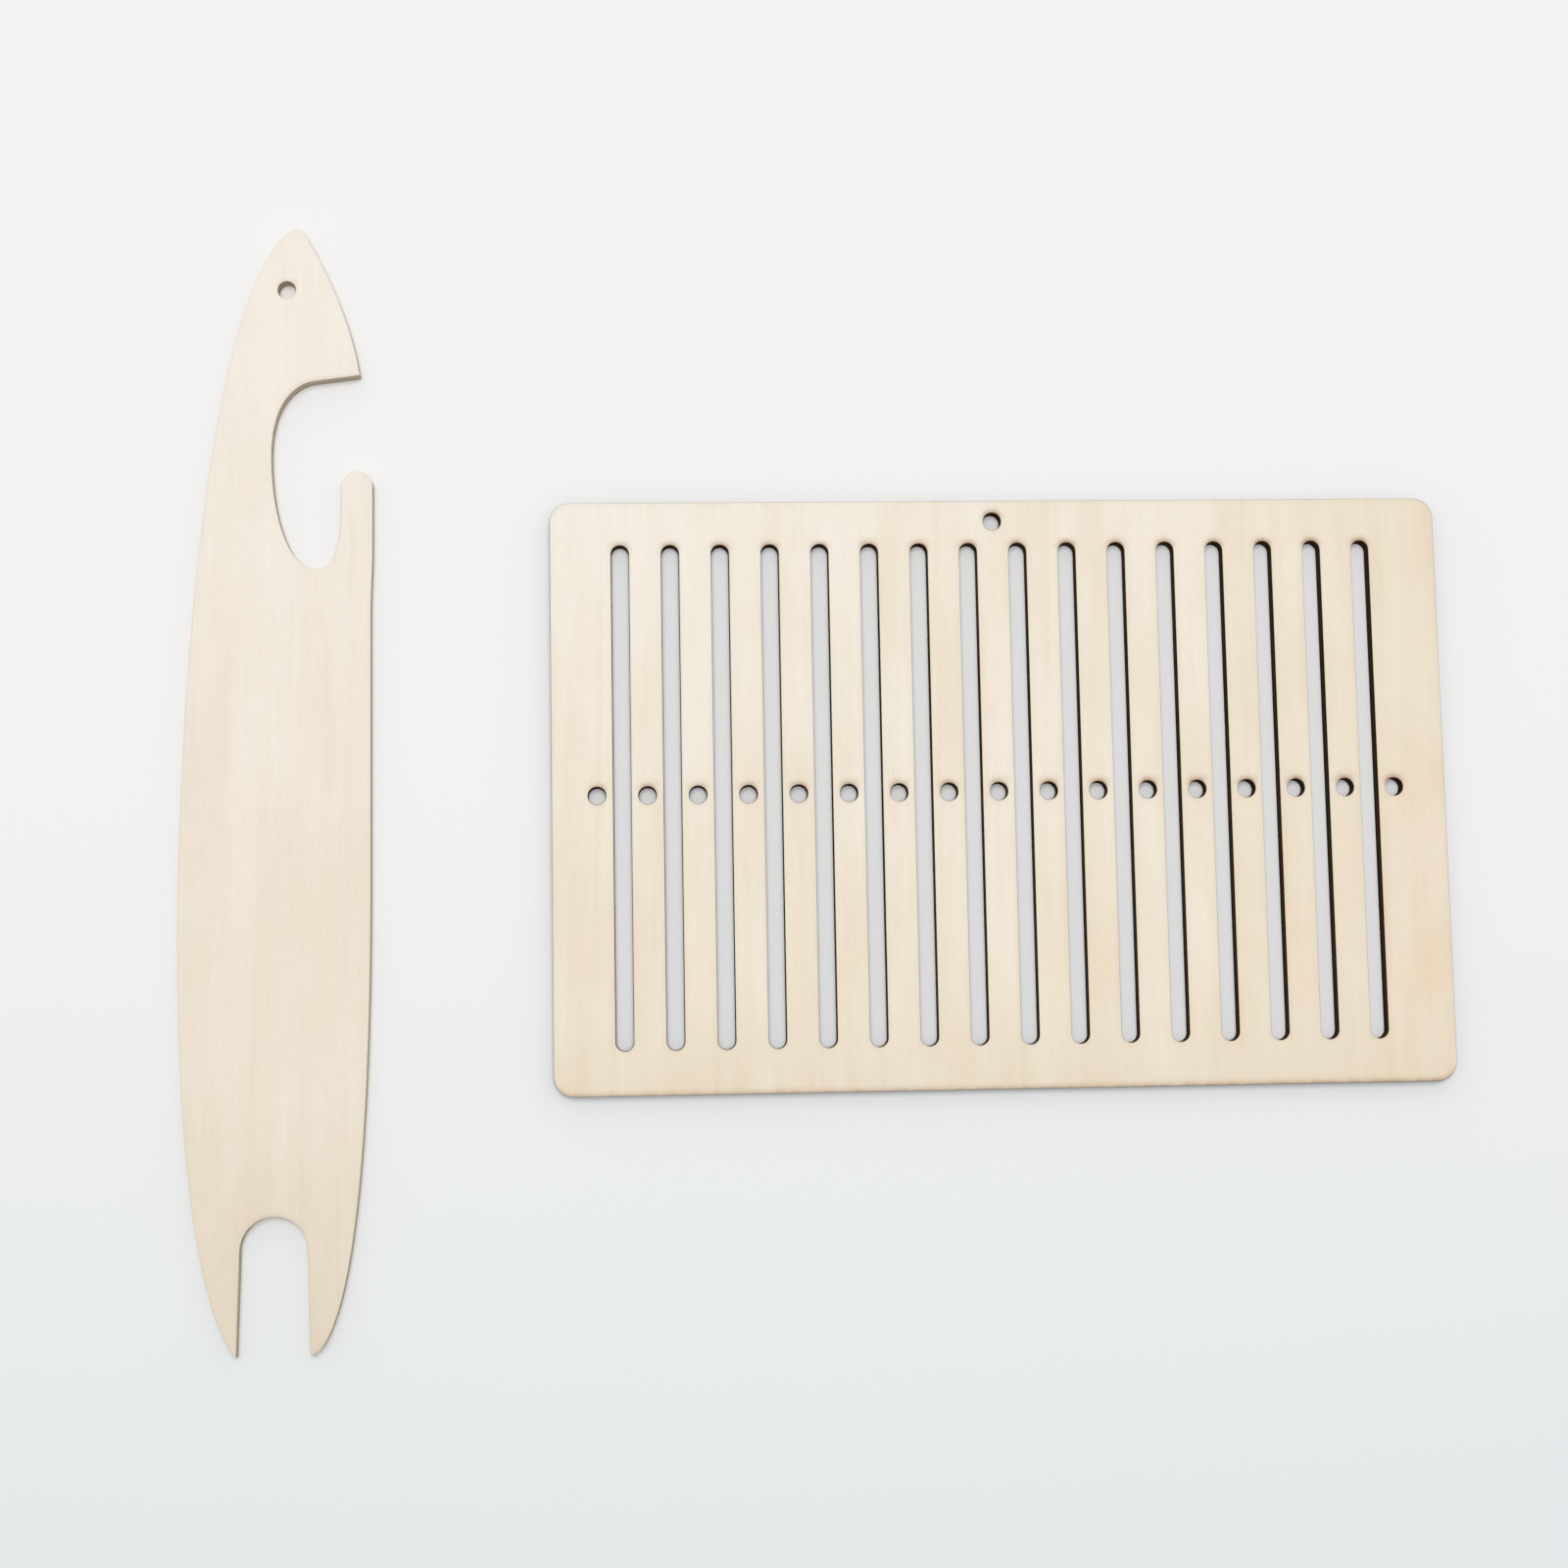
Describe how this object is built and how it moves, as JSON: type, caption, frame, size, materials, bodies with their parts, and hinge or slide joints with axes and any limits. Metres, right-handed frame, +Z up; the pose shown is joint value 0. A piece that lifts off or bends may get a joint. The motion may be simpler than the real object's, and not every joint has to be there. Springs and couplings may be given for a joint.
{
  "type": "rigid heddle and stick shuttle",
  "caption": "Flat plywood hand-weaving set: a slotted rigid heddle with thread eyes, and a long forked stick shuttle with a hooked head.",
  "frame": {"origin": "on the plane that both tools lie on, under the middle of the pair's bounding box", "axes": "+X from the shuttle towards the heddle, across the slots; +Y along the slots and the shuttle, towards the shuttle's nose; +Z up off the flat faces"},
  "size_m": [0.2534, 0.2242, 0.003],
  "materials": {
    "heddle_plywood": "raw sanded plywood, laser-cut edges",
    "shuttle_plywood": "raw sanded plywood, laser-cut edges"
  },
  "bodies": {
    "heddle": {"rigid_heddle": "heddle_plywood"},
    "shuttle": {"stick_shuttle": "shuttle_plywood"}
  },
  "joints": [
    {"name": "shuttle_lift", "type": "slide", "parent": "heddle", "child": "shuttle", "axis": [0, 0, 1], "range_m": [0, 0.06]}
  ]
}
